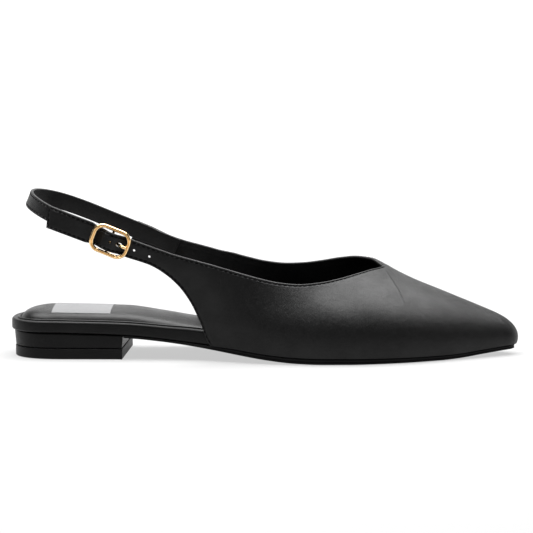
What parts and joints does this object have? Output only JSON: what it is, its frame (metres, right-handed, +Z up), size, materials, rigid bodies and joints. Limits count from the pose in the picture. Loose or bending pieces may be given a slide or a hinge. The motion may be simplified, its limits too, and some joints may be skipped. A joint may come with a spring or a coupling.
{
  "type": "sling back flat",
  "caption": "Pointed leather flat with a low covered heel, a V-shaped throat and a sling strap round the heel, fastened by a small gold buckle.",
  "frame": {"origin": "middle of the heel's flat walking face, on the floor", "axes": "+X towards the toe, +Y towards the inner side of the right foot, +Z up"},
  "size_m": [0.2682, 0.0847, 0.0874],
  "materials": {
    "black_leather": "smooth black leather with a fine grain and a soft broad sheen",
    "rand_leather": "smooth black leather wrapped tight over the footbed's edge",
    "sock_leather": "soft padded black lining leather",
    "heel_cover": "black leather cover, low sheen",
    "sole_rubber": "matte black rubber",
    "gold": "polished pale gold plating"
  },
  "bodies": {
    "root": {"upper": "black_leather", "sling_strap": "black_leather", "footbed_rand": "rand_leather", "sock": "sock_leather", "heel_block": "heel_cover", "heel_top_piece": "sole_rubber", "outsole": "sole_rubber", "buckle_frame": "gold", "buckle_prong": "gold"}
  },
  "joints": []
}
